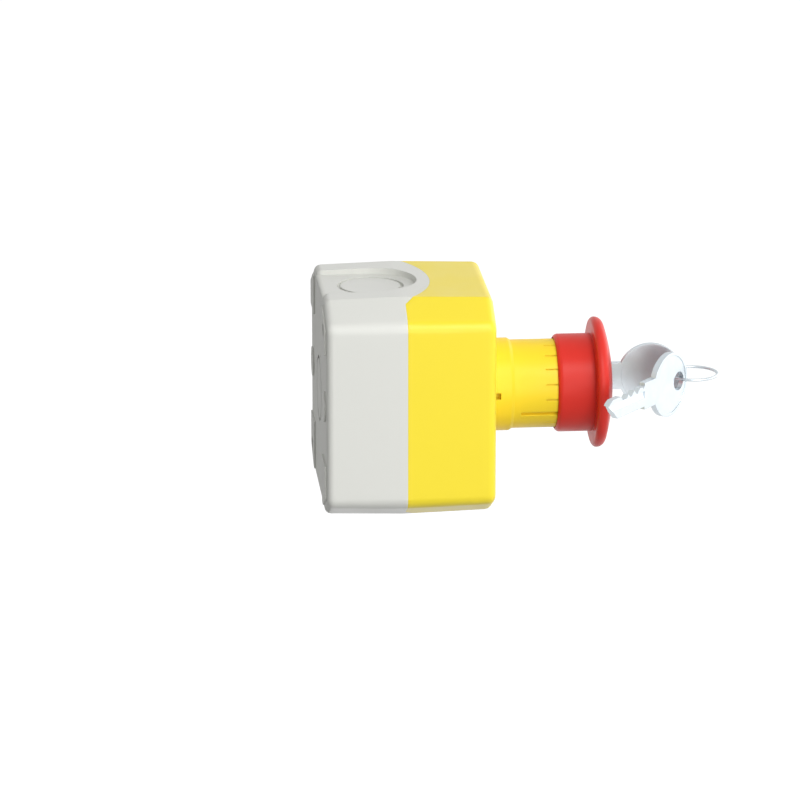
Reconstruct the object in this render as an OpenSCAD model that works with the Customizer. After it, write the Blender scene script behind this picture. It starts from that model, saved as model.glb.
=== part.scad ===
// Enclosed emergency stop station: a two-part plastic box with a latching mushroom
// button that is released by a key. X runs out of the wall along the button's axis,
// Y runs across the box and Z runs up. The origin is on the wall, on the button's axis.

/* [Box] */
// Width and height of the box at its widest, which is beside the seam
box_w = 68; // [66:0.5:76]
// Depth from the wall to the front of the lid
box_d = 51.4; // [49:0.1:58]
// Wall of the base and of the lid
wall = 2.5; // [2:0.1:3]
// Distance from the wall to the seam on the side faces
seam_x = 24.7; // [23:0.1:27]
// How far the seam bulges forward in the middle of the top and bottom
seam_bulge = 9.3; // [7:0.1:10]
// Draft of the four side faces, in degrees
draft = 1.6; // [1:0.1:2.2]
// Half width of the flat top and of the flat bottom
flat_half = 21.5; // [19:0.5:23]
// Slope of the facets beside the flats, in degrees
facet_angle = 25; // [22:0.5:28]
// Radius between a facet and a side face
corner_r = 4.4; // [4:0.1:6]
// Radius round the rear edges of the base
rear_edge_r = 2; // [2:0.1:3.5]
// Radius round the front edges of the lid
lid_edge_r = 2.4; // [1.5:0.1:3]
// Height of the pads that stand on the wall
pad_h = 0.45; // [0.3:0.05:0.8]
// Width of a corner pad
pad_w = 13.5; // [12:0.5:16]
// Height of the middle of the pads above the button's axis
pad_rise = 1.5; // [0:0.1:2]

/* [Cable entries] */
// Radius of the sunk field round a knock-out
entry_field_r = 14; // [13:0.5:15]
// Depth of the sunk field below the widest part of the box
entry_field_depth = 2; // [1.5:0.1:2.2]
// Distance from the wall to the middle of a knock-out
entry_x = 16.1; // [15.5:0.1:17.5]
// Radius of the knock-out disc, for a 20 mm gland
knockout_r = 10.1; // [9.5:0.1:10.4]
// Width of the thin ring round a knock-out
knockout_ring_w = 1; // [0.5:0.1:1]
// Depth of that ring
knockout_ring_depth = 0.8; // [0.5:0.1:1]

/* [Fasteners] */
// Distance of a wall fixing hole from the sides of the box
fixing_offset = 9; // [8.75:0.25:10]
// Radius of a wall fixing hole
fixing_r = 2.15; // [2:0.05:2.4]
// Distance of a lid screw from the sides of the box
lid_screw_offset = 8.7; // [8.5:0.1:9.5]
// Radius of a lid screw's shank
lid_screw_r = 1.75; // [1.5:0.05:2]
// Radius of a lid screw's head
lid_screw_head_r = 3.4; // [3:0.1:3.5]
// Depth of the pocket that takes a lid screw's head
lid_screw_sink = 5; // [4:0.25:6]
// Thickness of the gasket between base and lid
lid_seal_t = 1.2; // [1:0.1:1.6]

/* [Head] */
// Radius of the round hole in the lid
panel_hole_r = 11.25; // [11.15:0.05:11.4]
// Radius of the head's barrel behind the lid
barrel_r = 10.95; // [10.8:0.05:11]
// Radius of the collar that stands on the lid
collar_r = 14.2; // [14:0.1:15]
// Length of the collar
collar_h = 7.6; // [7.5:0.1:9.5]
// Radius of the sleeve in front of the collar
sleeve_r = 13.55; // [13.3:0.05:13.6]
// Radius of the spring chamber in the sleeve
chamber_r = 11.3; // [11.1:0.05:11.6]
// Height of the fixing nut behind the lid
nut_h = 6; // [5:0.25:7]
// Radius of the fixing nut
nut_r = 15; // [14.5:0.1:16]
// Number of fine grooves round the sleeve
groove_count = 18; // [12:1:24]
// Width of a fine groove
groove_w = 0.4; // [0.25:0.05:0.5]
// Depth of a fine groove
groove_depth = 0.5; // [0.3:0.05:0.6]
// Length of a fine groove that shows behind the skirt
groove_l = 3.6; // [3:0.1:5]
// Width of the one wide slot in the sleeve
slot_w = 1.4; // [1:0.1:2]
// Depth of that slot
slot_depth = 1.2; // [0.8:0.1:1.3]
// Length of that slot that shows behind the skirt
slot_l = 11.1; // [10:0.1:12]

/* [Button] */
// Travel of the button from rest to latched
travel = 6; // [5:0.25:6.5]
// Radius of the mushroom
mushroom_r = 20; // [19:0.5:22]
// Radius of the mushroom's rim on the side of the dome
rim_round = 2.4; // [2.2:0.1:3.2]
// Radius of the rim on the side of the skirt
rim_back = 1.3; // [1:0.1:1.8]
// Radius of the skirt below the rim
skirt_r = 15; // [14.9:0.05:15.5]
// Sleeve that shows between the lid and the skirt
sleeve_show = 20.8; // [20.5:0.1:23]
// Length of the mushroom from the skirt's edge to the top of the dome
mushroom_h = 17.8; // [17.5:0.05:20]
// Distance from the top of the dome back to the middle of the rim
dome_h = 5; // [4.8:0.05:6.25]
// Radius of the stem in the head's bore
stem_r = 7.7; // [7.5:0.05:7.8]
// Radius of the plate that presses the contact blocks
pusher_r = 10.4; // [9.5:0.1:10.8]
// Thickness of that plate
pusher_t = 3; // [2.5:0.1:3.5]
// Widening of the bore per millimetre of travel, which drives the latch pins
latch_slope = 0.15; // [0.1:0.01:0.18]
// Radius of a latch pin
latch_pin_r = 1.5; // [1.3:0.05:1.6]

/* [Lock and keys] */
// Depth of the lock's face below the top of the dome
face_sink = 3.5; // [1.8:0.1:3.6]
// Radius of the lock's body
lock_r = 8; // [7.8:0.05:8.1]
// Radius of the lock's plug
plug_r = 6.3; // [6.2:0.05:6.5]
// Turn of the key that releases the button, in degrees
key_turn = 45; // [30:5:60]
// Number of tumblers in the plug
tumblers = 5; // [3:1:5]
// Thickness of a key
key_t = 1.9; // [1.6:0.05:2]
// Radius of the round bow of a key
bow_r = 9.9; // [9.5:0.1:10.5]
// Distance from the middle of the bow to the end of the shoulder
shoulder_reach = 15.4; // [12.5:0.1:16.5]
// Height of the shoulder
shoulder_h = 8.3; // [7.5:0.1:9]
// Length of the blade beyond the shoulder
blade_l = 20.7; // [20:0.1:21]
// Height of the blade
blade_h = 6.4; // [6:0.1:6.6]
// Height of the blade's middle above the button's axis
key_z = 1.9; // [1.7:0.02:2.1]
// Radius of the hole in the bow
bow_hole_r = 2.9; // [2.5:0.05:3]
// Distance from the middle of the bow to that hole
bow_hole_offset = 5; // [4.5:0.05:5.2]
// Radius of the key ring, to the middle of its wire
ring_r = 7.64; // [7.4:0.02:8]
// Radius of the key ring's wire
ring_wire_r = 0.45; // [0.35:0.05:0.55]
// Angle round the ring between the two keys
spare_angle = 51.5; // [48:0.5:60]

/* [Contact blocks] */
// Width of one contact block
block_w = 10.6; // [10.2:0.1:10.9]
// Half the length of a contact block
block_half = 21; // [20.5:0.1:21.5]
// Height of a contact block
block_h = 22; // [21.5:0.1:22.5]
// Distance between the middles of the two blocks
block_pitch = 11.2; // [11:0.1:11.6]
// Height of the rails that carry the blocks
rail_h = 1.2; // [0.8:0.1:1.6]
// Half the width of a plunger, across the block
plunger_y = 2.6; // [2.4:0.05:2.7]
// Half the width of a plunger, along the block
plunger_z = 3.1; // [2.9:0.05:3.2]
// Distance of a terminal screw from the end of its block
terminal_z = 5.4; // [5.1:0.1:5.8]
// Radius of a terminal screw's head
terminal_head_r = 2.9; // [2.6:0.1:3]

/* [Hidden] */
$fn = 72;
fine = 32;

// Clearances: a sliding fit, a seat, a free gap between bodies and a hole round a screw
slide = 0.05;
touch = 0.1;
free = 0.3;
screw_gap = 0.2;
// Cuts run past a face by this much
over = 1;

// Slots in the screws' heads
driver_w = 1;
lid_screw_head_h = 2.6;
lid_slot_depth = 1.2;

// The box
half = box_w / 2;
rear_x = pad_h;
floor_x = rear_x + wall;
lid_in = box_d - wall;
facet_d = flat_half * sin(facet_angle) + half * cos(facet_angle);
seam_apex = seam_x + seam_bulge;
// The bulge ends a little way down the facets
bulge_half = flat_half + 3.2;
bulge_r = (pow(bulge_half, 2) + pow(seam_bulge, 2)) / (2 * seam_bulge);
// The draft starts just behind the seam
widest_x = seam_x - 0.6;
entry_z = half - entry_field_depth;
seal_out = wall - 1.2;
// Lean of each face of a corner, from the flat top round to the side
round_steps = 4;
edge_steps = 4;
leans = [
    0, facet_angle,
    for (i = [1:round_steps - 1]) facet_angle + (90 - facet_angle) * i / round_steps,
    90
];

// The contact blocks, from the box's floor to the plungers' tops
seat_x = floor_x + rail_h;
block_top = seat_x + block_h;
plunger_top = block_top + travel + 0.5;

// The pusher and the head's barrel
pusher_x = plunger_top + free;
pusher_top = pusher_x + pusher_t;
barrel_x = pusher_top + touch;
bore_r = stem_r + touch;
cross_pin_r = 1;

// The latch pins and the cam
latch_x = lid_in;
latch_tip = stem_r - 0.2;
latch_back = 3.2;
hub_top = latch_x - latch_pin_r - 2;
hollow_r = 5;
cam_x = latch_x + latch_pin_r + 0.2;
cam_t = 1.5;
hollow_x = cam_x + cam_t + 0.9;
tail_r = 2.4;
tail_square = 3;

// The head in front of the lid
wiper_x = box_d + 0.5;
wiper_t = 2;
wiper_r = stem_r + 1.9;
gasket_t = 0.95;
gasket_r = panel_hole_r + 0.6;
gasket_out = collar_r - 0.5;
notch_w = 3.2;
notch_r = panel_hole_r + 1.65;
// Notch in the collar for the tool that turns the head
tool_notch_w = 2;
tool_notch_h = 3.3;
tool_notch_depth = 2.2;
groove_turn = 7;
slot_turn = 28.3;

// The mushroom
skirt_x = box_d + sleeve_show;
dome_x = skirt_x + mushroom_h;
rim_x = dome_x - dome_h;
rim_c = mushroom_r - rim_round;
rim_back_c = mushroom_r - rim_back;
dome_r = (rim_c * rim_c + dome_h * dome_h - rim_round * rim_round) / (2 * (dome_h - rim_round));
roof_x = rim_x - 1.9;
skirt_in = sleeve_r + 0.35;
skirt_edge = 1.5;
sleeve_end = roof_x - travel - 0.5;

// The lock
face_x = dome_x - face_sink;
mouth_chamfer = 0.6;
flange_t = 1.2;
flange_r = lock_r + 1.3;
lock_seat = face_x - flange_t;
tip_x = face_x + touch - blade_l;
plug_x = tip_x - 2.2;
lock_x = plug_x - 1;
cup_r = lock_r + 1.2;
cup_x = lock_x - 1;
// The spring's seat stays clear of the cup when the button is in
spring_seat = min(box_d + 4, cup_x - travel - free);
clip_x = lock_x + 6;
clip_t = 1;
clip_r = lock_r - 0.75;
stop_w = 1.6;
stop_low = tail_r + 0.8;
stop_h = 2;
stop_t = 0.8;
tumbler_t = 1;
tumbler_half = 2.1;
tumbler_low = plug_r - 0.5;
tumbler_high = plug_r - 0.4;

// The keys
bow_x = face_x + touch + shoulder_reach;
ring_gap = 0.5;
ring_x = bow_x + bow_hole_offset + ring_gap + ring_r;
spare_shift = 1.55;
bow_rim = 0.9;
// Cuts in the blade: depth and width of the floor of each, from the tip
tooth_start = 9.1;
tooth_pitch = 3.6;
tooth_depths = [1.6, 1.55, 1.55, 0.6];
tooth_floors = [1.6, 0.6, 0.3, 0.3];
tumbler_x = tip_x + tooth_start;
tumbler_pitch = tooth_pitch / 2;
// Milled groove of the blade: low edge, high edge and its depth at both
mill_low = -0.5;
mill_high = 1.7;
mill_low_depth = 0.12;
mill_high_depth = 0.5;

// Levels inside a contact block, above its seat
strip_top = 18;
strip_t = 1;
strip_y = 2.2;
strip_end = block_half - 2;
strip_lap = plunger_z + 1.3;
channel_y = strip_y + slide;
clamp_half = 3.1;
clamp_t = 1.05;
terminal_at = block_half - terminal_z;
terminal_low = terminal_at - clamp_half - free;
terminal_shank_r = 1.5;
terminal_shank_l = 7;
terminal_head_h = 2.4;
terminal_slot_depth = 1.2;
cell_wall = 1.7;
cell_y = block_w / 2 - cell_wall;
cell_z = terminal_low - cell_wall;
bridge_t = 1;
bridge_half = cell_z - 1.9;
bridge_y = 1.5;
rivet_r = 1.5;
rivet_t = 0.6;
rivet_z = (strip_lap + bridge_half + free) / 2 + 0.15;
cell_low = 1.5;
cell_top = block_h - 1.8;
wing_t = 1.2;
window_spare = 1.2;
spring_bore = 2;
spring_bore_l = 5.4;
plunger_low = travel + 2;
closed_bridge = strip_top - strip_t - rivet_t - slide - 0.5;
no_strip_top = closed_bridge - bridge_t - 0.5 - travel - slide - rivet_t;
leg_t = 1;
foot_l = 1.6;
foot_t = 2;
hook_gap = 0.3;
hook_y = 3;
hook_t = 1.4;
hook_h = 1.5;

// Coils: wire radius, then turns
return_wire_r = 0.45;
return_r = chamber_r - return_wire_r - 0.6;
return_turns = 7;
latch_wire_r = 0.18;
latch_turns = 6;
plunger_wire_r = 0.25;
plunger_turns = 8;

base_grey = [0.88, 0.885, 0.865];
lid_yellow = [0.99, 0.91, 0.25];
head_yellow = [0.97, 0.86, 0.2];
button_red = [0.85, 0.2, 0.17];
key_metal = [0.82, 0.84, 0.87];
dark_plastic = [0.2, 0.21, 0.22];
spring_steel = [0.6, 0.61, 0.63];

// A solid of revolution about the X axis: the outline holds radius, then x
module turned() {
    rotate([0, 90, 0]) rotate_extrude() children();
}

// A round bar on the X axis
module bar_x(r, x0, x1, fn = $fn) {
    translate([x0, 0, 0]) rotate([0, 90, 0]) cylinder(r = r, h = x1 - x0, $fn = fn);
}

// A flat shape drawn in Y and Z, drawn out along X
module along_x(x0, x1) {
    translate([x0, 0, 0]) rotate([90, 0, 90]) linear_extrude(x1 - x0) children();
}

// A flat shape drawn in X and Z, drawn out to both sides along Y
module across_y(w) {
    rotate([90, 0, 0]) linear_extrude(w, center = true) children();
}

// A box given by its low corner and its high corner
module block(low, high) {
    translate(low) cube(high - low);
}

// A coil along Z, swept as a closed tube of few sides
module coil(r, wire, len, turns, steps = 16, sides = 6) {
    n = turns * steps;
    rise = len - 2 * wire;
    function at(i, k) =
        let (a = 360 * i / steps, b = 360 * k / sides, d = r + wire * cos(b))
        [d * cos(a), d * sin(a), wire + rise * i / n + wire * sin(b)];
    points = [for (i = [0:n], k = [0:sides - 1]) at(i, k)];
    walls = [for (i = [0:n - 1], k = [0:sides - 1])
        let (m = (k + 1) % sides)
        [i * sides + k, (i + 1) * sides + k, (i + 1) * sides + m, i * sides + m]];
    first = [for (k = [0:sides - 1]) k];
    last = [for (k = [sides - 1:-1:0]) n * sides + k];
    polyhedron(points, concat(walls, [first], [last]), convexity = 10);
}

// Distance of a face from the axis, for a face whose outward normal leans this far from Z
function reach(lean) =
    let (y = half - corner_r, z = (facet_d - corner_r - y * sin(facet_angle)) / cos(facet_angle))
    lean == 0 || lean == 90 ? half
    : lean == facet_angle ? facet_d
    : y * sin(lean) + z * cos(lean) + corner_r;

// The box's cross section: flat top and bottom, a facet and a round at each corner
module section(inset) {
    last = len(leans) - 2;
    corner = [for (i = [0:last])
        let (a = leans[i], b = leans[i + 1], da = reach(a) - inset, db = reach(b) - inset)
        [da * cos(b) - db * cos(a), db * sin(a) - da * sin(b)] / sin(a - b)];
    polygon([
        for (c = corner) c,
        for (i = [last:-1:0]) [corner[i].x, -corner[i].y],
        for (c = corner) -c,
        for (i = [last:-1:0]) [-corner[i].x, corner[i].y]
    ]);
}

// Half height of a drafted face at one place along the axis
function drafted(h, x) = h - tan(draft) * abs(x - widest_x);

// Points on an arc, from one angle to another
function arc(c, r, from, to, steps) =
    [for (i = [0:steps]) let (a = from + (to - from) * i / steps) c + r * [cos(a), sin(a)]];

// The box's outline from the side, widest near the seam, with rounded edges at both ends
module outline(h, x0, x1, r0, r1, steps) {
    c0 = [x0 + r0, drafted(h, x0 + r0) - r0 / cos(draft)];
    c1 = [x1 - r1, drafted(h, x1 - r1) - r1 / cos(draft)];
    upper = concat(
        arc(c0, r0, 180, 90 + draft, steps), [[widest_x, h]], arc(c1, r1, 90 - draft, 0, steps)
    );
    polygon(concat(upper, [for (i = [len(upper) - 1:-1:0]) [upper[i].x, -upper[i].y]]));
}

// The drafted solid of the box, set in from the outside: what all its pairs of faces share
module form(inset, x0, x1, r0, r1, steps) {
    intersection_for(lean = concat(leans, [for (i = [1:len(leans) - 2]) -leans[i]]))
        rotate([-lean, 0, 0]) across_y(4 * half)
            outline(reach(abs(lean)) - inset, x0, x1, r0, r1, steps);
}

// Everything that belongs to the base: behind the seam, with its bulge
module base_side(extra = 0) {
    linear_extrude(4 * half, center = true) {
        translate([-over, -2 * half]) square([seam_x + over + extra, 4 * half]);
        translate([seam_apex - bulge_r, 0]) circle(bulge_r + extra);
    }
}

module shell() {
    difference() {
        form(0, rear_x, box_d, rear_edge_r, lid_edge_r, edge_steps);
        form(wall, floor_x, lid_in, 1, 1, 1);
    }
}

// A field and a ring sunk into the top of the base, where a gland can go
module cable_entry() {
    translate([entry_x, 0, entry_z]) cylinder(r = entry_field_r, h = wall + over);
    block([-over, -entry_field_r, entry_z], [entry_x, entry_field_r, half + over]);
    translate([entry_x, 0, entry_z - knockout_ring_depth]) difference() {
        cylinder(r = knockout_r, h = knockout_ring_depth + over);
        translate([0, 0, -over]) cylinder(r = knockout_r - knockout_ring_w, h = wall + over);
    }
}

// Thicker wall behind a knock-out, for the gland's nut
module entry_boss() {
    low = half - wall - 1.9;
    difference() {
        union() {
            translate([entry_x, 0, low]) cylinder(r = entry_field_r + 1, h = 2.2);
            block([floor_x, -entry_field_r - 1, low], [entry_x, entry_field_r + 1, low + 2.2]);
        }
        block([seam_apex, -half, 0], [box_d, half, half]);
    }
}

// Rail and two hooks that hold one contact block
module block_rail() {
    post = block_half + foot_l + hook_gap;
    rail_y = block_w / 2 - 0.6;
    low = seat_x + foot_t + touch;
    high = seat_x + foot_t + hook_h;
    block([floor_x - slide, -rail_y, -block_half], [seat_x, rail_y, block_half]);
    for (s = [0, 1]) mirror([0, 0, s]) {
        block([floor_x - slide, -hook_y, post], [high, hook_y, post + hook_t]);
        block([low, -hook_y, post - foot_l + touch], [high, hook_y, post + slide]);
    }
}

// The two lid screws stand on one diagonal, the wall fixings on the other
module at_lid_screws() {
    at = half - lid_screw_offset;
    for (s = [-1, 1]) translate([0, s * at, s * at]) children();
}

module at_fixings() {
    at = half - fixing_offset;
    for (s = [-1, 1]) translate([0, -s * at, s * at]) children();
}

// Pads, and the sunk field that they stand round, on the back of the base
module wall_pads() {
    inner = half - 3.2 - pad_w;
    intersection() {
        along_x(0, rear_x + slide) section(3.2);
        union() {
            for (sy = [-1, 1], sz = [-1, 1])
                block(
                    [0, sy > 0 ? inner : -half, sz > 0 ? pad_rise + inner : -half],
                    [rear_x + slide, sy > 0 ? half : -inner, sz > 0 ? half : pad_rise - inner]
                );
            for (s = [-1, 1])
                translate([0, s * (half - 8.5), pad_rise]) bar_x(4.6, 0, rear_x + slide, fine);
        }
    }
}

module base_housing() {
    color(base_grey) difference() {
        union() {
            intersection() {
                shell();
                base_side();
            }
            intersection() {
                union() {
                    for (s = [0, 1]) mirror([0, 0, s]) entry_boss();
                    for (s = [-1, 1]) translate([0, s * block_pitch / 2, 0]) block_rail();
                    at_lid_screws() bar_x(4, floor_x - slide, seam_x, fine);
                    at_fixings() bar_x(4.2, floor_x - slide, floor_x + 2.6, fine);
                }
                along_x(0, box_d) section(wall / 2);
            }
            wall_pads();
        }
        for (s = [0, 1]) mirror([0, 0, s]) cable_entry();
        at_lid_screws() bar_x(lid_screw_r + slide, floor_x + 2, seam_x + over, fine);
        at_fixings() bar_x(fixing_r, -over, seam_x, fine);
        // Thin ring of the rear knock-out
        difference() {
            bar_x(knockout_r, -over, rear_x + knockout_ring_depth);
            bar_x(knockout_r - knockout_ring_w, -2 * over, rear_x + wall);
        }
    }
}

module lid_cover() {
    pocket = box_d - lid_screw_sink;
    color(lid_yellow) difference() {
        union() {
            difference() {
                union() {
                    shell();
                    at_lid_screws() bar_x(4, seam_x - over, pocket - 1, fine);
                    at_lid_screws() bar_x(lid_screw_head_r + 1.6, pocket - 2, lid_in + slide, fine);
                }
                base_side();
            }
            // Rib round the fixing nut
            difference() {
                bar_x(nut_r + 2, lid_in - 2, lid_in + slide);
                bar_x(nut_r + 0.6, lid_in - 2 - over, box_d);
            }
        }
        seal_band(0, seal_out, wall + 0.6);
        at_lid_screws() {
            bar_x(lid_screw_r + screw_gap, 0, box_d + over, fine);
            bar_x(lid_screw_head_r + free, pocket, box_d + over, fine);
        }
        bar_x(panel_hole_r, lid_in - over, box_d + over);
        block([lid_in - over, -notch_w / 2, 0], [box_d + over, notch_w / 2, notch_r]);
    }
}

// The band of wall that the gasket fills, between two depths into the wall
module seal_band(grow, out, in) {
    difference() {
        intersection() {
            difference() {
                base_side(lid_seal_t + grow);
                base_side();
            }
            along_x(0, box_d) section(out);
        }
        along_x(-over, box_d + over) section(in);
    }
}

module lid_seal() {
    color(dark_plastic) seal_band(0, seal_out, wall);
}

module lid_screws() {
    head = box_d - lid_screw_sink;
    top = head + lid_screw_head_h;
    color("silver") at_lid_screws() difference() {
        union() {
            bar_x(lid_screw_r, floor_x + 3, head + slide, fine);
            bar_x(lid_screw_head_r, head, top, fine);
        }
        for (turn = [0, 90]) rotate([turn, 0, 0]) slot(top - lid_slot_depth, top, lid_screw_head_r);
    }
}

// Fine grooves round the sleeve, and the one wide slot low on the near side
module sleeve_grooves() {
    step = 360 / groove_count;
    for (i = [0:groove_count - 1]) rotate([groove_turn - i * step, 0, 0])
        sleeve_groove(skirt_x - groove_l, groove_w, groove_depth);
    rotate([slot_turn, 0, 0]) sleeve_groove(skirt_x - slot_l, slot_w, slot_depth);
}

module sleeve_groove(from, w, depth) {
    block([from, -sleeve_r - over, -w / 2], [sleeve_end + over, depth - sleeve_r, w / 2]);
}

module head_bezel() {
    color(head_yellow) difference() {
        union() {
            turned() polygon([
                [0, barrel_x], [barrel_r, barrel_x], [barrel_r, box_d], [collar_r, box_d],
                [collar_r, box_d + collar_h - 1], [sleeve_r, box_d + collar_h],
                [sleeve_r, sleeve_end], [0, sleeve_end]
            ]);
            block(
                [lid_in + touch, touch - notch_w / 2, barrel_r - 1],
                [box_d + slide, notch_w / 2 - touch, notch_r - 0.2]
            );
        }
        bar_x(bore_r, barrel_x - over, sleeve_end + over);
        bar_x(chamber_r, spring_seat, sleeve_end + over);
        bar_x(wiper_r, wiper_x, wiper_x + wiper_t);
        latch_cone();
        turned() translate([gasket_r - slide, box_d - over])
            square([gasket_out - gasket_r + 2 * slide, over + gasket_t]);
        block(
            [box_d + slide, -collar_r - over, -tool_notch_w / 2],
            [box_d + tool_notch_h, tool_notch_depth - collar_r, tool_notch_w / 2]
        );
        sleeve_grooves();
    }
}

// The bore widens towards the wall, so the latch pins move out as the button goes in
module latch_cone() {
    start = latch_x + latch_pin_r;
    end = latch_x - travel - latch_pin_r;
    turned() polygon([
        [0, start], [bore_r, start], [bore_r + latch_slope * (start - end), end], [0, end]
    ]);
}

module head_gasket() {
    color(dark_plastic) difference() {
        bar_x(gasket_out, box_d, box_d + gasket_t);
        bar_x(gasket_r, box_d - over, box_d + over + gasket_t);
    }
}

module fixing_nut() {
    lobes = 8;
    color([0.75, 0.76, 0.76]) difference() {
        bar_x(nut_r, lid_in - nut_h, lid_in);
        bar_x(barrel_r + slide, lid_in - nut_h - over, lid_in + over);
        for (i = [0:lobes - 1]) rotate([(i + 0.5) * 360 / lobes, 0, 0])
            block([lid_in - nut_h - over, -2, nut_r - 1.6], [lid_in - 1.5, 2, nut_r + over]);
    }
}

module wiper_seal() {
    color(dark_plastic) difference() {
        bar_x(wiper_r - slide, wiper_x + slide, wiper_x + wiper_t - slide);
        bar_x(stem_r + slide, wiper_x - over, wiper_x + wiper_t + over);
    }
}

// A contact block's moulding, drawn about its own middle
module block_housing(low_strip) {
    foot_y = block_w / 2 - 1;
    guide_y = plunger_y + touch;
    guide_z = plunger_z + touch;
    difference() {
        union() {
            block([seat_x, -block_w / 2, -block_half], [block_top, block_w / 2, block_half]);
            block([seat_x, -foot_y, -block_half - foot_l], [seat_x + foot_t, foot_y, block_half + foot_l]);
        }
        block([seat_x + cell_low, -cell_y, -cell_z], [seat_x + cell_top, cell_y, cell_z]);
        block([seat_x + cell_low, -guide_y, -guide_z], [block_top + over, guide_y, guide_z]);
        for (s = [0, 1]) mirror([0, 0, s]) terminal_pocket();
        // Channels for the legs of the low strips
        if (low_strip) for (s = [0, 1]) mirror([0, 0, s])
            block(
                [seat_x + no_strip_top - strip_t - slide, -channel_y, cell_z - over],
                [seat_x + strip_top + slide, channel_y, cell_z + leg_t + touch]
            );
    }
}

// Room for a wire, its clamp and the screw's head, open at the end of the block
module terminal_pocket() {
    top = seat_x + strip_top;
    block([top - strip_t, -cell_y, terminal_low], [seat_x + cell_top, cell_y, block_half + over]);
    block(
        [top - strip_t - slide, -channel_y, cell_z - over],
        [top + slide, channel_y, terminal_low + over]
    );
    translate([0, 0, terminal_at]) {
        bar_x(terminal_head_r + 0.25, top, block_top + over, fine);
        bar_x(terminal_shank_r + slide, top - strip_top / 2, block_top, fine);
    }
}

// Both strips of one block: from the screw to the rivet that the bridge meets
module fixed_contacts(open) {
    top = seat_x + strip_top;
    low = seat_x + no_strip_top;
    for (s = [0, 1]) mirror([0, 0, s]) {
        color("goldenrod") difference() {
            union() {
                block([top - strip_t, -strip_y, open ? cell_z : strip_lap], [top, strip_y, strip_end]);
                if (open) {
                    block([low - strip_t, -strip_y, cell_z], [top, strip_y, cell_z + leg_t]);
                    block([low - strip_t, -strip_y, strip_lap], [low, strip_y, cell_z + leg_t]);
                }
            }
            translate([0, 0, terminal_at]) bar_x(terminal_shank_r + touch, top - 2, top + over, fine);
        }
        color("silver") translate([0, 0, rivet_z])
            if (open) bar_x(rivet_r, low - slide, low + rivet_t, fine);
            else bar_x(rivet_r, top - strip_t - rivet_t, top - strip_t + slide, fine);
    }
}

module at_terminals() {
    for (sy = [-1, 1], sz = [-1, 1])
        translate([seat_x + strip_top, sy * block_pitch / 2, sz * terminal_at]) children();
}

// The slot in a screw's head, open at both sides
module slot(from, to, r) {
    block([from, -r - over, -driver_w / 2], [to + over, r + over, driver_w / 2]);
}

module terminal_screws() {
    head = clamp_t + slide;
    top = head + terminal_head_h;
    color("silver") at_terminals() difference() {
        union() {
            bar_x(terminal_shank_r, -terminal_shank_l, head + slide, fine);
            bar_x(terminal_head_r, head, top, fine);
        }
        slot(top - terminal_slot_depth, top, terminal_head_r);
    }
}

module terminal_clamps() {
    color([0.78, 0.78, 0.74]) at_terminals() difference() {
        block([slide, -clamp_half, -clamp_half], [clamp_t, clamp_half, clamp_half]);
        bar_x(terminal_shank_r + touch, -over, clamp_t + over, fine);
    }
}

// Outline of the button in radius and x: dome, rounded rim, skirt and its rounded edge
module mushroom_outline() {
    reach = dome_r / (dome_r - rim_round);
    meet = [rim_c * reach, dome_x - dome_r + (rim_x - dome_x + dome_r) * reach];
    intersection() {
        translate([rim_c, rim_x]) circle(rim_round);
        translate([0, rim_x]) square(mushroom_r + over);
    }
    intersection() {
        translate([rim_back_c, rim_x]) circle(rim_back);
        translate([0, rim_x - rim_back - over]) square([mushroom_r + over, rim_back + over]);
    }
    intersection() {
        translate([0, dome_x - dome_r]) circle(dome_r, $fn = 240);
        polygon([[0, roof_x], [rim_c, rim_x], meet, [meet.x, dome_x + over], [0, dome_x + over]]);
    }
    translate([0, rim_x - rim_back]) square([rim_back_c, rim_back]);
    translate([0, skirt_x + skirt_edge]) square([skirt_r, rim_x - skirt_x - skirt_edge]);
    translate([0, skirt_x]) square([skirt_r - skirt_edge, skirt_edge + slide]);
    translate([skirt_r - skirt_edge, skirt_x + skirt_edge]) circle(skirt_edge, $fn = fine);
}

module mushroom_cap() {
    // The pocket's mouth starts to widen a little below the dome
    mouth_r = flange_r + slide;
    mouth_x = dome_x - dome_r + sqrt(dome_r * dome_r - mouth_r * mouth_r) - mouth_chamfer;
    color(button_red) turned() difference() {
        intersection() {
            mushroom_outline();
            translate([0, skirt_x - over]) square([mushroom_r + over, mushroom_h + 2 * over]);
        }
        translate([-over, skirt_x - over]) square([skirt_in + over, roof_x - skirt_x + over]);
        translate([-over, skirt_x]) square([lock_r + slide + over, mushroom_h + over]);
        translate([-over, lock_seat]) square([flange_r + slide + over, mushroom_h]);
        polygon([
            [0, mouth_x], [mouth_r, mouth_x], [mouth_r + 3 * mouth_chamfer, mouth_x + 3 * mouth_chamfer],
            [0, mouth_x + 3 * mouth_chamfer]
        ]);
    }
}

module stem() {
    color(dark_plastic) difference() {
        turned() polygon([
            [0, pusher_top], [stem_r, pusher_top], [stem_r, cup_x], [cup_r, cup_x],
            [cup_r, roof_x], [0, roof_x]
        ]);
        bar_x(lock_r + slide, lock_x - slide, roof_x + over);
        bar_x(tail_r + 0.4, hollow_x - over, lock_x, fine);
        bar_x(hollow_r, pusher_top - over, hollow_x);
        translate([latch_x, 0, 0]) rotate([90, 0, 0])
            cylinder(r = latch_pin_r + slide, h = 4 * stem_r, center = true, $fn = fine);
        clip_shape(slide);
        pin_shape(cross_pin_r + slide, 4 * stem_r);
    }
}

// The cross pin that ties the pusher to the stem, and the hole that it goes through
module pin_shape(r, l) {
    translate([(pusher_top + hub_top) / 2, 0, 0])
        cylinder(r = r, h = l, center = true, $fn = fine);
}

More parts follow.
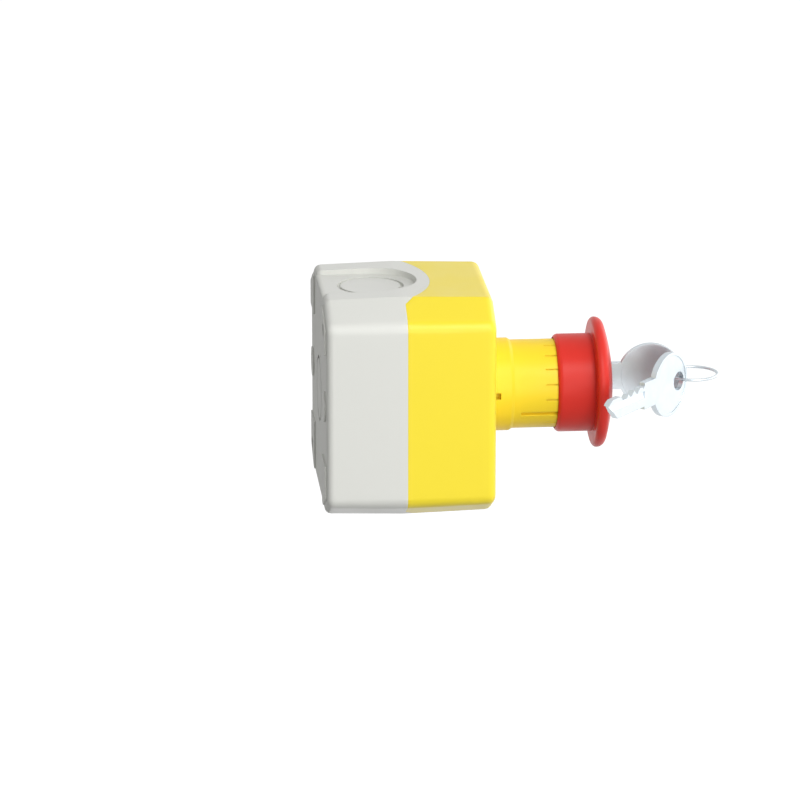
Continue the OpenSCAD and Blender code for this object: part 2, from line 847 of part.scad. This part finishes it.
// The snap ring round the lock, open below, with an allowance for the slot that it goes through
module clip_shape(grow) {
    difference() {
        bar_x(cup_r - slide + grow * 3, clip_x - grow, clip_x + clip_t + grow);
        bar_x(clip_r - grow, clip_x - over, clip_x + 2 * over);
        block([clip_x - over, -2 * cup_r, -2 * cup_r], [clip_x + 2 * over, 2 * cup_r, -2 - grow]);
    }
}

module lock_clip() {
    color("silver") clip_shape(0);
}

module lock_body() {
    color([0.72, 0.73, 0.75]) difference() {
        union() {
            bar_x(lock_r, lock_x, lock_seat + slide);
            bar_x(flange_r, lock_seat, face_x);
        }
        bar_x(plug_r + slide, plug_x - slide, face_x + over);
        bar_x(tail_r + 0.3, lock_x - over, plug_x, fine);
        along_x(lock_x - over, plug_x) stop_slot();
        clip_shape(slide);
    }
}

module pusher_plate() {
    color([0.93, 0.93, 0.9]) difference() {
        union() {
            bar_x(pusher_r, pusher_x, pusher_top);
            bar_x(hollow_r - slide, pusher_top - slide, hub_top);
        }
        pin_shape(cross_pin_r + slide, 4 * stem_r);
    }
}

module pusher_pin() {
    color("silver") pin_shape(cross_pin_r, 2 * stem_r - 0.6);
}

module return_spring() {
    color(spring_steel) translate([spring_seat + slide, 0, 0]) rotate([0, 90, 0])
        coil(return_r, return_wire_r, roof_x - spring_seat - 2 * slide, return_turns, 20);
}

module latch_pin(side) {
    color([0.75, 0.68, 0.5]) translate([latch_x, side * latch_back, 0]) rotate([-90 * side, 0, 0])
        cylinder(r = latch_pin_r, h = latch_tip - latch_back, $fn = fine);
}

module left_latch_pin() {
    latch_pin(-1);
}

module right_latch_pin() {
    latch_pin(1);
}

module latch_spring() {
    color(spring_steel) translate([latch_x, slide - latch_back, 0]) rotate([-90, 0, 0])
        coil(latch_pin_r - 0.55, latch_wire_r, 2 * latch_back - 2 * slide, latch_turns, 12, 5);
}

module lock_plug() {
    low = key_z - blade_h / 2 - 0.15;
    high = key_z + blade_h / 2 + 0.15;
    side = key_t / 2 + 0.15;
    tail = tail_square / 2;
    slot = tumbler_t / 2 + slide;
    slot_y = tumbler_half + slide;
    color([0.8, 0.79, 0.74]) difference() {
        union() {
            bar_x(plug_r, plug_x, face_x);
            bar_x(tail_r, cam_x + cam_t, plug_x + slide, fine);
            block([cam_x, -tail, -tail], [cam_x + cam_t + slide, tail, tail]);
            along_x(plug_x - stop_t, plug_x + slide) stop_shape(0);
        }
        block([tip_x - 0.4, -side, low], [face_x + over, side, high]);
        for (i = [0:tumblers - 1]) translate([tumbler_x + i * tumbler_pitch, 0, 0])
            block([-slot, -slot_y, -plug_r - over], [slot, slot_y, plug_r + over]);
    }
}

// The lug on the back of the plug, with an allowance for the slot that stops it
module stop_shape(grow) {
    translate([-stop_w / 2 - grow, stop_low - grow]) square([stop_w + 2 * grow, stop_h + 2 * grow]);
}

// The slot's outline: the lug's place at rest, its place when turned, and the arc between
module stop_slot() {
    turned_to = 90 - key_turn;
    inner = arc([0, 0], stop_low - touch, 90, turned_to, 8);
    outer = arc([0, 0], stop_low + stop_h + touch, turned_to, 90, 8);
    for (a = [0, -key_turn]) rotate(a) stop_shape(touch);
    polygon(concat(inner, outer));
}

module lock_tumblers() {
    side = key_t / 2 + touch;
    t = tumbler_t / 2;
    color("goldenrod") for (i = [0:tumblers - 1])
        translate([tumbler_x + i * tumbler_pitch, 0, 0]) difference() {
            block([-t, -tumbler_half, -tumbler_low], [t, tumbler_half, tumbler_high]);
            block([-over, -side, key_z - blade_h / 2 - touch], [over, side, key_z + blade_h / 2 + touch]);
        }
}

module release_cam() {
    hole = tail_square / 2 + slide;
    color("silver") difference() {
        intersection() {
            bar_x(hollow_r - 0.6, cam_x, cam_x + cam_t);
            block([cam_x - over, -hollow_r, -2.6], [cam_x + 2 * over + cam_t, hollow_r, 2.6]);
        }
        block([cam_x - over, -hole, -hole], [cam_x + cam_t + over, hole, hole]);
    }
}

// Side view of a key, in X and Z, with the middle of its bow at the origin
module key_outline() {
    end = -shoulder_reach - blade_l;
    circle(bow_r);
    translate([-shoulder_reach, -shoulder_h / 2]) square([shoulder_reach, shoulder_h]);
    difference() {
        polygon([
            [-shoulder_reach + slide, blade_h / 2], [end + 2.2, blade_h / 2],
            [end + 0.5, blade_h / 2 - 0.9], [end, blade_h / 2 - 1.5], [end + 2.2, -0.5],
            [end + 5, -blade_h / 2], [-shoulder_reach + slide, -blade_h / 2]
        ]);
        for (i = [0:len(tooth_depths) - 1])
            translate([end + tooth_start + i * tooth_pitch, blade_h / 2 - tooth_depths[i]])
                let (land = tooth_floors[i] / 2)
                    polygon([[-land, 0], [land, 0], [land + 3, 3], [-land - 3, 3]]);
    }
}

// A key at the origin: bow, shoulder and a blade that points towards the wall
module key_blank() {
    end = -shoulder_reach - blade_l;
    side = key_t / 2;
    difference() {
        across_y(key_t) key_outline();
        translate([bow_hole_offset, 0, 0]) rotate([90, 0, 0])
            cylinder(r = bow_hole_r, h = 2 * key_t, center = true, $fn = 48);
        for (s = [0, 1]) mirror([0, s, 0]) {
            // Sunk face of the bow
            translate([0, side, 0]) rotate([90, 0, 0])
                cylinder(r = bow_r - bow_rim, h = 0.3, center = true);
            along_x(end - over, -shoulder_reach) polygon([
                [side + over, mill_low], [side - mill_low_depth, mill_low],
                [side - mill_high_depth, mill_high], [side + over, mill_high]
            ]);
        }
    }
}

module key() {
    color(key_metal) translate([bow_x, 0, key_z]) key_blank();
}

module spare_key() {
    color(key_metal) translate([ring_x, 0, key_z]) rotate([0, 0, spare_angle])
        translate([bow_x - ring_x - spare_shift, 0, 0]) key_blank();
}

module key_ring() {
    color(key_metal) translate([ring_x, 0, key_z])
        rotate_extrude() translate([ring_r, 0]) circle(ring_wire_r, $fn = 24);
}

// A plunger with its window for the bridge and its blind bore for the spring
module plunger(bridge_low) {
    low = seat_x + plunger_low;
    stop = seat_x + cell_top - touch;
    window = seat_x + bridge_low - slide;
    window_y = bridge_y + slide;
    wing_y = cell_y - 0.2;
    color([0.2, 0.45, 0.3]) difference() {
        union() {
            block([low, -plunger_y, -plunger_z], [plunger_top, plunger_y, plunger_z]);
            block([stop - wing_t, -wing_y, -plunger_z], [stop, wing_y, plunger_z]);
        }
        block(
            [window, -window_y, -plunger_z - over],
            [window + bridge_t + window_spare, window_y, plunger_z + over]
        );
        bar_x(spring_bore, low - over, low + spring_bore_l, fine);
    }
}

module nc_plunger() {
    translate([0, -block_pitch / 2, 0]) plunger(closed_bridge - bridge_t);
}

module no_plunger() {
    translate([0, block_pitch / 2, 0]) plunger(closed_bridge - bridge_t);
}

// A bridge bar with a rivet at each end, on the side that faces the fixed rivets
module bridge(up) {
    low = seat_x + closed_bridge - bridge_t;
    color("goldenrod") block([low, -bridge_y, -bridge_half], [low + bridge_t, bridge_y, bridge_half]);
    color("silver") for (s = [-1, 1]) translate([0, 0, s * rivet_z])
        if (up) bar_x(rivet_r - 0.1, low + bridge_t - slide, low + bridge_t + 0.5, fine);
        else bar_x(rivet_r - 0.1, low - 0.5, low + slide, fine);
}

module nc_bridge() {
    translate([0, -block_pitch / 2, 0]) bridge(true);
}

module no_bridge() {
    translate([0, block_pitch / 2, 0]) bridge(false);
}

module plunger_spring(side) {
    len = plunger_low + spring_bore_l - cell_low - 2 * slide;
    color(spring_steel) translate([seat_x + cell_low + slide, side * block_pitch / 2, 0])
        rotate([0, 90, 0])
            coil(spring_bore - 0.5, plunger_wire_r, len, plunger_turns, 12, 5);
}

module nc_plunger_spring() {
    plunger_spring(-1);
}

module no_plunger_spring() {
    plunger_spring(1);
}

module nc_block_housing() {
    color([0.25, 0.26, 0.28]) translate([0, -block_pitch / 2, 0]) block_housing(false);
}

module no_block_housing() {
    color([0.25, 0.26, 0.28]) translate([0, block_pitch / 2, 0]) block_housing(true);
}

module nc_fixed_contacts() {
    translate([0, -block_pitch / 2, 0]) fixed_contacts(false);
}

module no_fixed_contacts() {
    translate([0, block_pitch / 2, 0]) fixed_contacts(true);
}

base_housing();
lid_cover();
lid_seal();
lid_screws();
head_bezel();
head_gasket();
fixing_nut();
wiper_seal();
nc_block_housing();
no_block_housing();
nc_fixed_contacts();
no_fixed_contacts();
terminal_screws();
terminal_clamps();
mushroom_cap();
stem();
pusher_plate();
pusher_pin();
lock_body();
lock_clip();
return_spring();
left_latch_pin();
right_latch_pin();
latch_spring();
lock_plug();
lock_tumblers();
release_cam();
key();
key_ring();
spare_key();
nc_plunger();
no_plunger();
nc_bridge();
no_bridge();
nc_plunger_spring();
no_plunger_spring();
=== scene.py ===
"""Looks of the emergency stop station: materials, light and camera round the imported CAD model.

Lengths are in metres and angles in degrees. +X runs out of the wall along the button's axis,
+Y runs away from the camera and +Z is up.
"""

import math

import bpy
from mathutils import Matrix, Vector


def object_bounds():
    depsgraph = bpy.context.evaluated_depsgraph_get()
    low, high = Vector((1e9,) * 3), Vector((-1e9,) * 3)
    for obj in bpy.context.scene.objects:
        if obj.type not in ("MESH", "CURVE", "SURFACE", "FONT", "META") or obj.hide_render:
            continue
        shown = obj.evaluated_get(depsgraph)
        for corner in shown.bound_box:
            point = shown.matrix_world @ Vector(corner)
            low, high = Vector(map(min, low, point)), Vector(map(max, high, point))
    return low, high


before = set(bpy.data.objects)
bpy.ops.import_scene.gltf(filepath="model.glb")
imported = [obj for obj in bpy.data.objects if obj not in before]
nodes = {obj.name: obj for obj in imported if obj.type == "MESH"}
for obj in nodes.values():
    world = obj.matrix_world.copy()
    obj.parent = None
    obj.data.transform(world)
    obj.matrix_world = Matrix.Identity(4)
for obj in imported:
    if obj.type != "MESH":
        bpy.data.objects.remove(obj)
cad_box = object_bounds()

MM = 0.001

# The camera of the photograph, fitted to edges of the box, the sleeve, the mushroom and the keys
IMAGE_PX = 800
SENSOR_MM = 36
FOCAL_PX = 4751
CAMERA_AZIMUTH = -4.885
CAMERA_ELEVATION = 16.05
CAMERA_DISTANCE = 1.451
LOOK_AT = Vector((0.02517, 0, -0.00439))

# Where the lamps point, near the middle of the part
LAMP_AIM = Vector((0.05, 0, 0))

# Colours, linear
WHITE = (1, 1, 1, 1)
BASE_GREY = (0.74, 0.745, 0.70)
LID_YELLOW = (0.96, 0.77, 0.035)
HEAD_YELLOW = (0.95, 0.71, 0.03)
BUTTON_RED = (0.70, 0.035, 0.025)
RUBBER = (0.02, 0.02, 0.021)
DARK_PLASTIC = (0.03, 0.031, 0.034)
PUSHER_WHITE = (0.78, 0.78, 0.74)
PLUNGER_GREEN = (0.02, 0.15, 0.05)
NUT_GREY = (0.3, 0.31, 0.31)
STEEL = (0.56, 0.57, 0.57)
SPRING = (0.38, 0.38, 0.39)
DIE_CAST = (0.5, 0.5, 0.5)
BRASS = (0.62, 0.42, 0.16)
NICKEL = (0.60, 0.655, 0.69)

# Radii that the shaders give to sharp edges
PLASTIC_EDGE = 0.35 * MM
BOX_EDGE = 2.0 * MM
RUBBER_EDGE = 0.15 * MM
METAL_EDGE = 0.12 * MM

# Cosine between the flat and the rounded normal at a full edge, and where no edge is left
EDGE_COSINE = (0.8, 0.995)

# Zones of the box, as the distances from the wall over which they fade in or out
REAR_FACE = (0.0004, 0.0006)
WALL_SIDE = (0.0016, 0.0024)
REAR_EDGE = (0.0020, 0.0030)
FRONT_EDGE = (0.0485, 0.0495)
FRONT_FACE = (0.0510, 0.0512)

# The same for its four long corners, from the button's axis, and to either side of the seam
CORNER_EDGE = (0.0235, 0.0245)
SEAM_X = 0.0247
SEAM_GAP = (0.0006, 0.0016)

# The wall side of the box is matt
WALL_SIDE_ROUGHNESS = 0.58

# The floor's brightness where the camera or a reflection sees it, and its colour elsewhere
FLOOR_GLOW = 0.9
FLOOR_COLOR = (0.2, 0.2, 0.2, 1)


def scaled(color, factor):
    return tuple(min(1, channel * factor) for channel in color)


class Shader:
    """A material with one Principled shader, and short ways to add nodes to it.

    The plain colour and roughness stand in wherever the nodes aren't followed.
    """

    def __init__(self, name, color, roughness, metallic=0.0, ior=1.46):
        self.material = bpy.data.materials.new(name)
        self.material.use_nodes = True
        self.material.diffuse_color = (*color, 1)
        self.tree = self.material.node_tree
        self.bsdf = self.tree.nodes["Principled BSDF"]
        self.bsdf.inputs["Base Color"].default_value = (*color, 1)
        self.bsdf.inputs["Roughness"].default_value = roughness
        self.bsdf.inputs["Metallic"].default_value = metallic
        self.bsdf.inputs["IOR"].default_value = ior
        self.place = self.add("ShaderNodeTexCoord").outputs["Object"]
        self.normal = self.add("ShaderNodeNewGeometry").outputs["Normal"]

    def add(self, kind, **settings):
        node = self.tree.nodes.new(kind)
        for name, value in settings.items():
            setattr(node, name, value)
        return node

    def put(self, source, target):
        """Links an output, or sets a value, on an input."""
        if isinstance(source, bpy.types.NodeSocket):
            self.tree.links.new(source, target)
        else:
            target.default_value = source

    def axes(self):
        """The x, y and z of the place, as three outputs."""
        node = self.add("ShaderNodeSeparateXYZ")
        self.put(self.place, node.inputs[0])
        return node.outputs

    def stretched(self, scale):
        node = self.add("ShaderNodeMapping")
        self.put(self.place, node.inputs["Vector"])
        node.inputs["Scale"].default_value = scale
        return node.outputs["Vector"]

    def noise(self, size_mm, detail=2.0, vector=None):
        """Noise whose features are about size_mm across."""
        node = self.add("ShaderNodeTexNoise")
        self.put(vector or self.place, node.inputs["Vector"])
        node.inputs["Scale"].default_value = 1 / (size_mm * MM)
        node.inputs["Detail"].default_value = detail
        return node.outputs["Fac"]

    def spread(self, value, low, high, start=0.3, end=0.7):
        """Runs smoothly from low, where value is at start or below, to high, at end or above."""
        node = self.add("ShaderNodeMapRange", interpolation_type="SMOOTHSTEP")
        self.put(value, node.inputs["Value"])
        for name, number in (
            ("From Min", start), ("From Max", end), ("To Min", low), ("To Max", high)
        ):
            node.inputs[name].default_value = number
        return node.outputs["Result"]

    def mix(self, factor, a, b):
        """Colour a where factor is 0, colour b where it is 1."""
        node = self.add("ShaderNodeMix", data_type="RGBA")
        for source, index in ((factor, 0), (a, 6), (b, 7)):
            source = (*source, 1) if isinstance(source, tuple) else source
            self.put(source, node.inputs[index])
        return node.outputs[2]

    def math(self, operation, a, b=0.0):
        node = self.add("ShaderNodeMath", operation=operation)
        self.put(a, node.inputs[0])
        self.put(b, node.inputs[1])
        return node.outputs[0]

    def rounded(self, radius):
        """Softens sharp edges in the light, and gives a mask of where they are."""
        node = self.add("ShaderNodeBevel", samples=6)
        self.put(radius, node.inputs["Radius"])
        dot = self.add("ShaderNodeVectorMath", operation="DOT_PRODUCT")
        self.put(node.outputs["Normal"], dot.inputs[0])
        self.put(self.normal, dot.inputs[1])
        self.normal = node.outputs["Normal"]
        sharpest, flat = EDGE_COSINE
        return self.spread(dot.outputs["Value"], low=1.0, high=0.0, start=sharpest, end=flat)

    def bump(self, height, strength, depth_mm):
        node = self.add("ShaderNodeBump")
        self.put(height, node.inputs["Height"])
        node.inputs["Strength"].default_value = strength
        node.inputs["Distance"].default_value = depth_mm * MM
        self.put(self.normal, node.inputs["Normal"])
        self.normal = node.outputs["Normal"]

    def finish(self, color, roughness):
        self.put(color, self.bsdf.inputs["Base Color"])
        self.put(roughness, self.bsdf.inputs["Roughness"])
        self.put(self.normal, self.bsdf.inputs["Normal"])
        return self.material


def box_edges(s):
    """Bevel radius that blends the flats of the box's rounded edges, and stays small elsewhere."""
    x, y, z = s.axes()
    both = s.math("MINIMUM", s.math("ABSOLUTE", y), s.math("ABSOLUTE", z))
    corner = s.spread(both, 0.0, 1.0, *CORNER_EDGE)
    rear = s.spread(x, 1.0, 0.0, *REAR_EDGE)
    front = s.spread(x, 0.0, 1.0, *FRONT_EDGE)
    soft = s.math("MAXIMUM", corner, s.math("MAXIMUM", rear, front))
    off_seam = s.math("ABSOLUTE", s.math("SUBTRACT", x, SEAM_X))
    for kept in (
        s.spread(x, 0.0, 1.0, *REAR_FACE),
        s.spread(x, 1.0, 0.0, *FRONT_FACE),
        s.spread(off_seam, 0.0, 1.0, *SEAM_GAP),
    ):
        soft = s.math("MULTIPLY", soft, kept)
    return s.spread(soft, PLASTIC_EDGE, BOX_EDGE, start=0.0, end=1.0)


def moulded(name, color, rough, grain_depth_mm=0.007, gloss=0.5, box=False):
    """Moulded plastic: fine grain, slow drift of gloss and tone, and a painted highlight that
    lightens the edges.

    The box also has its long edges blended and its wall side matt.
    """
    s = Shader(name, color, sum(rough) / 2)
    s.bsdf.inputs["Specular IOR Level"].default_value = gloss
    edge = s.rounded(box_edges(s) if box else PLASTIC_EDGE)
    patches = s.spread(s.noise(size_mm=22), low=0.0, high=0.05)
    # Painted highlight: sharp edges, and the box's wide blended corners, are lightened in colour
    edge_painted_highlight = s.spread(edge, low=0.0, high=0.10, start=0.0, end=1.0)
    tone = s.mix(patches, color, scaled(color, 0.86))
    tone = s.mix(edge_painted_highlight, tone, scaled(color, 1.15))
    roughness = s.spread(s.noise(size_mm=9, detail=3), *rough)
    if box:
        matt = s.spread(s.axes()[0], WALL_SIDE_ROUGHNESS, 0.0, *WALL_SIDE)
        roughness = s.math("MAXIMUM", roughness, matt)
    s.bump(s.noise(size_mm=0.5, detail=3), strength=0.35, depth_mm=grain_depth_mm)
    s.bump(s.noise(size_mm=14, detail=1), strength=0.2, depth_mm=0.02)
    return s.finish(tone, roughness)


def rubber(name):
    """Dull rubber with a paler bloom in patches."""
    s = Shader(name, RUBBER, roughness=0.75)
    s.rounded(RUBBER_EDGE)
    bloom = s.spread(s.noise(size_mm=3), low=0.0, high=0.5)
    tone = s.mix(bloom, RUBBER, scaled(RUBBER, 2.2))
    s.bump(s.noise(size_mm=0.25, detail=4), strength=0.4, depth_mm=0.02)
    return s.finish(tone, s.spread(s.noise(size_mm=1.2), low=0.65, high=0.85))


def plated(name, color, rough, grain=(1, 1, 1)):
    """Plated or drawn metal: fine streaks along one axis, patches of tone, and edges darkened as
    painted shade.
    """
    s = Shader(name, color, sum(rough) / 2, metallic=1.0, ior=1.5)
    edge = s.rounded(METAL_EDGE)
    streaks = s.noise(size_mm=0.35, detail=4, vector=s.stretched(grain))
    patches = s.spread(s.noise(size_mm=4, detail=3), low=0.0, high=0.22)
    # Painted shade: sharp edges are darkened in colour
    edge_painted_shade = s.spread(edge, low=0.0, high=0.6, start=0.0, end=1.0)
    tone = s.mix(patches, color, scaled(color, 0.72))
    tone = s.mix(edge_painted_shade, tone, scaled(color, 0.55))
    s.bump(streaks, strength=0.25, depth_mm=0.01)
    return s.finish(tone, s.spread(streaks, *rough))


def dress(material, *names):
    for name in names:
        mesh = nodes[name].data
        mesh.materials.clear()
        mesh.materials.append(material)


def dress_nodes():
    base = moulded("base_grey", BASE_GREY, rough=(0.28, 0.34), box=True)
    lid = moulded("lid_yellow", LID_YELLOW, rough=(0.28, 0.34), gloss=0.4, box=True)
    head = moulded("head_yellow", HEAD_YELLOW, rough=(0.36, 0.44), grain_depth_mm=0.006, gloss=0.3)
    red = moulded("button_red", BUTTON_RED, rough=(0.32, 0.40), grain_depth_mm=0.005, gloss=0.22)
    dark = moulded("block_plastic", DARK_PLASTIC, rough=(0.42, 0.58))
    white = moulded("pusher_white", PUSHER_WHITE, rough=(0.35, 0.5))
    green = moulded("plunger_green", PLUNGER_GREEN, rough=(0.3, 0.45))
    nut = moulded("nut_grey", NUT_GREY, rough=(0.45, 0.6))
    seal = rubber("seal_rubber")
    steel = plated("screw_steel", STEEL, rough=(0.28, 0.42))
    wire = plated("spring_steel", SPRING, rough=(0.25, 0.4), grain=(1, 8, 8))
    cast = plated("lock_metal", DIE_CAST, rough=(0.35, 0.5))
    brass = plated("contact_brass", BRASS, rough=(0.25, 0.4), grain=(8, 8, 1))
    nickel = plated("key_nickel", NICKEL, rough=(0.34, 0.46), grain=(1, 6, 6))
    dress(base, "base_housing")
    dress(lid, "lid_cover")
    dress(head, "head_bezel")
    dress(red, "mushroom_cap")
    dress(dark, "stem", "nc_block_housing", "no_block_housing")
    dress(white, "pusher_plate")
    dress(green, "nc_plunger", "no_plunger")
    dress(nut, "fixing_nut")
    dress(seal, "lid_seal", "head_gasket", "wiper_seal")
    dress(
        steel, "lid_screws", "terminal_screws", "terminal_clamps", "pusher_pin", "lock_clip",
        "left_latch_pin", "right_latch_pin", "release_cam",
    )
    dress(wire, "return_spring", "latch_spring", "nc_plunger_spring", "no_plunger_spring")
    dress(cast, "lock_body", "lock_plug")
    dress(
        brass, "nc_fixed_contacts", "no_fixed_contacts", "nc_bridge", "no_bridge",
        "lock_tumblers",
    )
    dress(nickel, "key", "spare_key", "key_ring")


def direction(azimuth, elevation):
    """Unit vector from the part: azimuth 0 is the near side, -Y, and 90 is +X."""
    a = math.radians(azimuth)
    e = math.radians(elevation)
    return Vector((math.sin(a) * math.cos(e), -math.cos(a) * math.cos(e), math.sin(e)))


def stand(name, data, aim, towards, distance):
    """Adds a camera or a lamp that stands off its aim in one direction, and looks at it."""
    thing = bpy.data.objects.new(name, data)
    bpy.context.scene.collection.objects.link(thing)
    thing.location = aim + distance * towards
    thing.rotation_euler = (-towards).to_track_quat("-Z", "Y").to_euler()
    return thing


def make_camera():
    data = bpy.data.cameras.new("camera")
    data.sensor_width = SENSOR_MM
    data.lens = FOCAL_PX / IMAGE_PX * SENSOR_MM
    data.clip_start = 0.01
    towards = direction(CAMERA_AZIMUTH, CAMERA_ELEVATION)
    bpy.context.scene.camera = stand("camera", data, LOOK_AT, towards, CAMERA_DISTANCE)


def make_light(name, towards, distance, size, brightness):
    """A square softbox that gives a white surface facing it this brightness.

    That holds for a lamp small beside its distance. A wide one gives less.
    """
    data = bpy.data.lights.new(name, "AREA")
    data.size = size
    data.energy = brightness * math.pi * math.pi * distance ** 2
    stand(name, data, LAMP_AIM, towards, distance)


def seen_factor(tree):
    """1 for rays that show the background: camera, glossy and transmission rays."""
    path = tree.nodes.new("ShaderNodeLightPath")
    total = path.outputs["Is Camera Ray"]
    for name in ("Is Glossy Ray", "Is Transmission Ray"):
        node = tree.nodes.new("ShaderNodeMath")
        node.operation = "MAXIMUM"
        tree.links.new(total, node.inputs[0])
        tree.links.new(path.outputs[name], node.inputs[1])
        total = node.outputs[0]
    return total


def make_world(fill):
    """White wherever it is seen, and fill times as bright where it only lights the part."""
    world = bpy.data.worlds.new("studio")
    world.use_nodes = True
    bpy.context.scene.world = world
    tree = world.node_tree
    shown = tree.nodes["Background"]
    soft = tree.nodes.new("ShaderNodeBackground")
    for node, strength in ((shown, 1), (soft, fill)):
        node.inputs["Color"].default_value = WHITE
        node.inputs["Strength"].default_value = strength
    mix = tree.nodes.new("ShaderNodeMixShader")
    tree.links.new(seen_factor(tree), mix.inputs[0])
    tree.links.new(soft.outputs[0], mix.inputs[1])
    tree.links.new(shown.outputs[0], mix.inputs[2])
    tree.links.new(mix.outputs[0], tree.nodes["World Output"].inputs["Surface"])


def make_floor(drop, half):
    """A pale floor well below the part, which hovers on its wall plane as in the photograph."""
    mesh = bpy.data.meshes.new("floor")
    z = cad_box[0][2] - drop
    corners = [(-half, -half, z), (half, -half, z), (half, half, z), (-half, half, z)]
    mesh.from_pydata(corners, [], [(0, 1, 2, 3)])
    floor = bpy.data.objects.new("floor", mesh)
    bpy.context.scene.collection.objects.link(floor)
    material = bpy.data.materials.new("floor_white")
    material.use_nodes = True
    tree = material.node_tree
    bsdf = tree.nodes["Principled BSDF"]
    bsdf.inputs["Base Color"].default_value = FLOOR_COLOR
    bsdf.inputs["Roughness"].default_value = 0.9
    bsdf.inputs["Emission Color"].default_value = WHITE
    glow = tree.nodes.new("ShaderNodeMath")
    glow.operation = "MULTIPLY"
    glow.inputs[1].default_value = FLOOR_GLOW
    tree.links.new(seen_factor(tree), glow.inputs[0])
    tree.links.new(glow.outputs[0], bsdf.inputs["Emission Strength"])
    mesh.materials.append(material)


make_camera()
dress_nodes()
make_world(fill=0.38)
above = direction(azimuth=20, elevation=45)
make_light("key_light", above, distance=1.2, size=0.45, brightness=0.38)
near_side = direction(azimuth=24, elevation=4)
make_light("front_light", near_side, distance=1.5, size=1.4, brightness=0.74)
before_the_button = Vector((0.92, 0.29, -0.1)).normalized()
make_light("side_light", before_the_button, distance=1.0, size=1.8, brightness=1.35)
make_floor(drop=0.22, half=3.0)
bpy.context.scene.view_settings.view_transform = "Standard"
